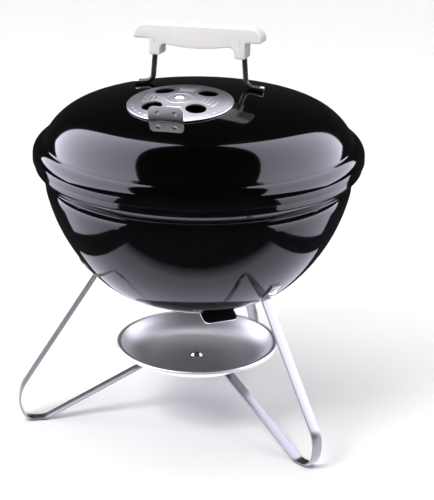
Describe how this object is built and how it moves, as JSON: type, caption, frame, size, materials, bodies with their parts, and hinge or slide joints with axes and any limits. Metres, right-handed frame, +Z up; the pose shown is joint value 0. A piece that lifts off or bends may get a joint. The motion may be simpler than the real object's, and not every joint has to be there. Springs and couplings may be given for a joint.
{
  "type": "kettle charcoal grill",
  "caption": "Compact kettle charcoal grill: round lidded bowl with turning dampers, two wire grates and an ash pan, on bent strip-steel legs with a bail handle.",
  "frame": {"origin": "on the kettle's vertical axis, in the plane that the feet stand on", "axes": "+Z up, +Y towards the back leg, +X to the right when seen from the front"},
  "size_m": [0.369, 0.3911, 0.4486],
  "materials": {
    "black_enamel": "glossy fired enamel",
    "black_paint": "black coating, bare at the cut edges",
    "leg_strip": "bright plated strip",
    "plated_steel": "bright plated",
    "zinc_steel": "zinc plated",
    "pan_aluminium": "satin",
    "damper_aluminium": "satin, embossed",
    "grate_wire": "bare drawn wire",
    "plated_grate_wire": "nickel plated wire",
    "black_wire": "black, bare at the tips of the feet",
    "grip_plastic": "off-white, fine grain"
  },
  "bodies": {
    "base": {"bowl": "black_enamel", "bowl_damper_rivet": "plated_steel", "leg_front_right": "leg_strip", "leg_rear": "leg_strip", "leg_front_left": "leg_strip", "leg_bolts": "plated_steel", "leg_lock_washers": "zinc_steel", "leg_nuts": "zinc_steel", "ash_catcher": "pan_aluminium", "ash_catcher_bolt": "plated_steel", "ash_catcher_washer": "zinc_steel", "ash_catcher_wing_nut": "zinc_steel"},
    "bowl_damper": {"bowl_damper": "black_paint"},
    "charcoal_grate": {"charcoal_grate_ring": "grate_wire", "charcoal_grate_bars": "grate_wire", "charcoal_grate_braces": "grate_wire"},
    "cooking_grate": {"cooking_grate_ring": "plated_grate_wire", "cooking_grate_bars": "plated_grate_wire", "cooking_grate_braces": "plated_grate_wire"},
    "lid": {"lid": "black_enamel", "lid_damper_rivet": "plated_steel", "handle_bail": "black_wire", "handle_grip_front": "grip_plastic", "handle_grip_rear": "grip_plastic", "handle_screws": "zinc_steel"},
    "lid_damper": {"lid_damper": "damper_aluminium"}
  },
  "joints": [
    {"name": "lid_lift", "type": "slide", "parent": "base", "child": "lid", "axis": [0, 0, 1], "range_m": [0, 0.3]},
    {"name": "cooking_grate_lift", "type": "slide", "parent": "base", "child": "cooking_grate", "axis": [0, 0, 1], "range_m": [0, 0.15]},
    {"name": "charcoal_grate_lift", "type": "slide", "parent": "base", "child": "charcoal_grate", "axis": [0, 0, 1], "range_m": [0, 0.075]},
    {"name": "lid_damper_turn", "type": "hinge", "parent": "lid", "child": "lid_damper", "pos_m": [-0.00928, -0.03543, 0.38043], "axis": [-0.0189, -0.0721, 0.9972], "range_deg": [0, 45]},
    {"name": "bowl_damper_turn", "type": "hinge", "parent": "base", "child": "bowl_damper", "pos_m": [0, 0, 0.136], "axis": [0, 0, 1], "range_deg": [0, 45]}
  ],
  "couplings": [
    {"joint": "cooking_grate_lift", "follows": "lid_lift", "ratio": 0.5},
    {"joint": "charcoal_grate_lift", "follows": "lid_lift", "ratio": 0.25}
  ]
}
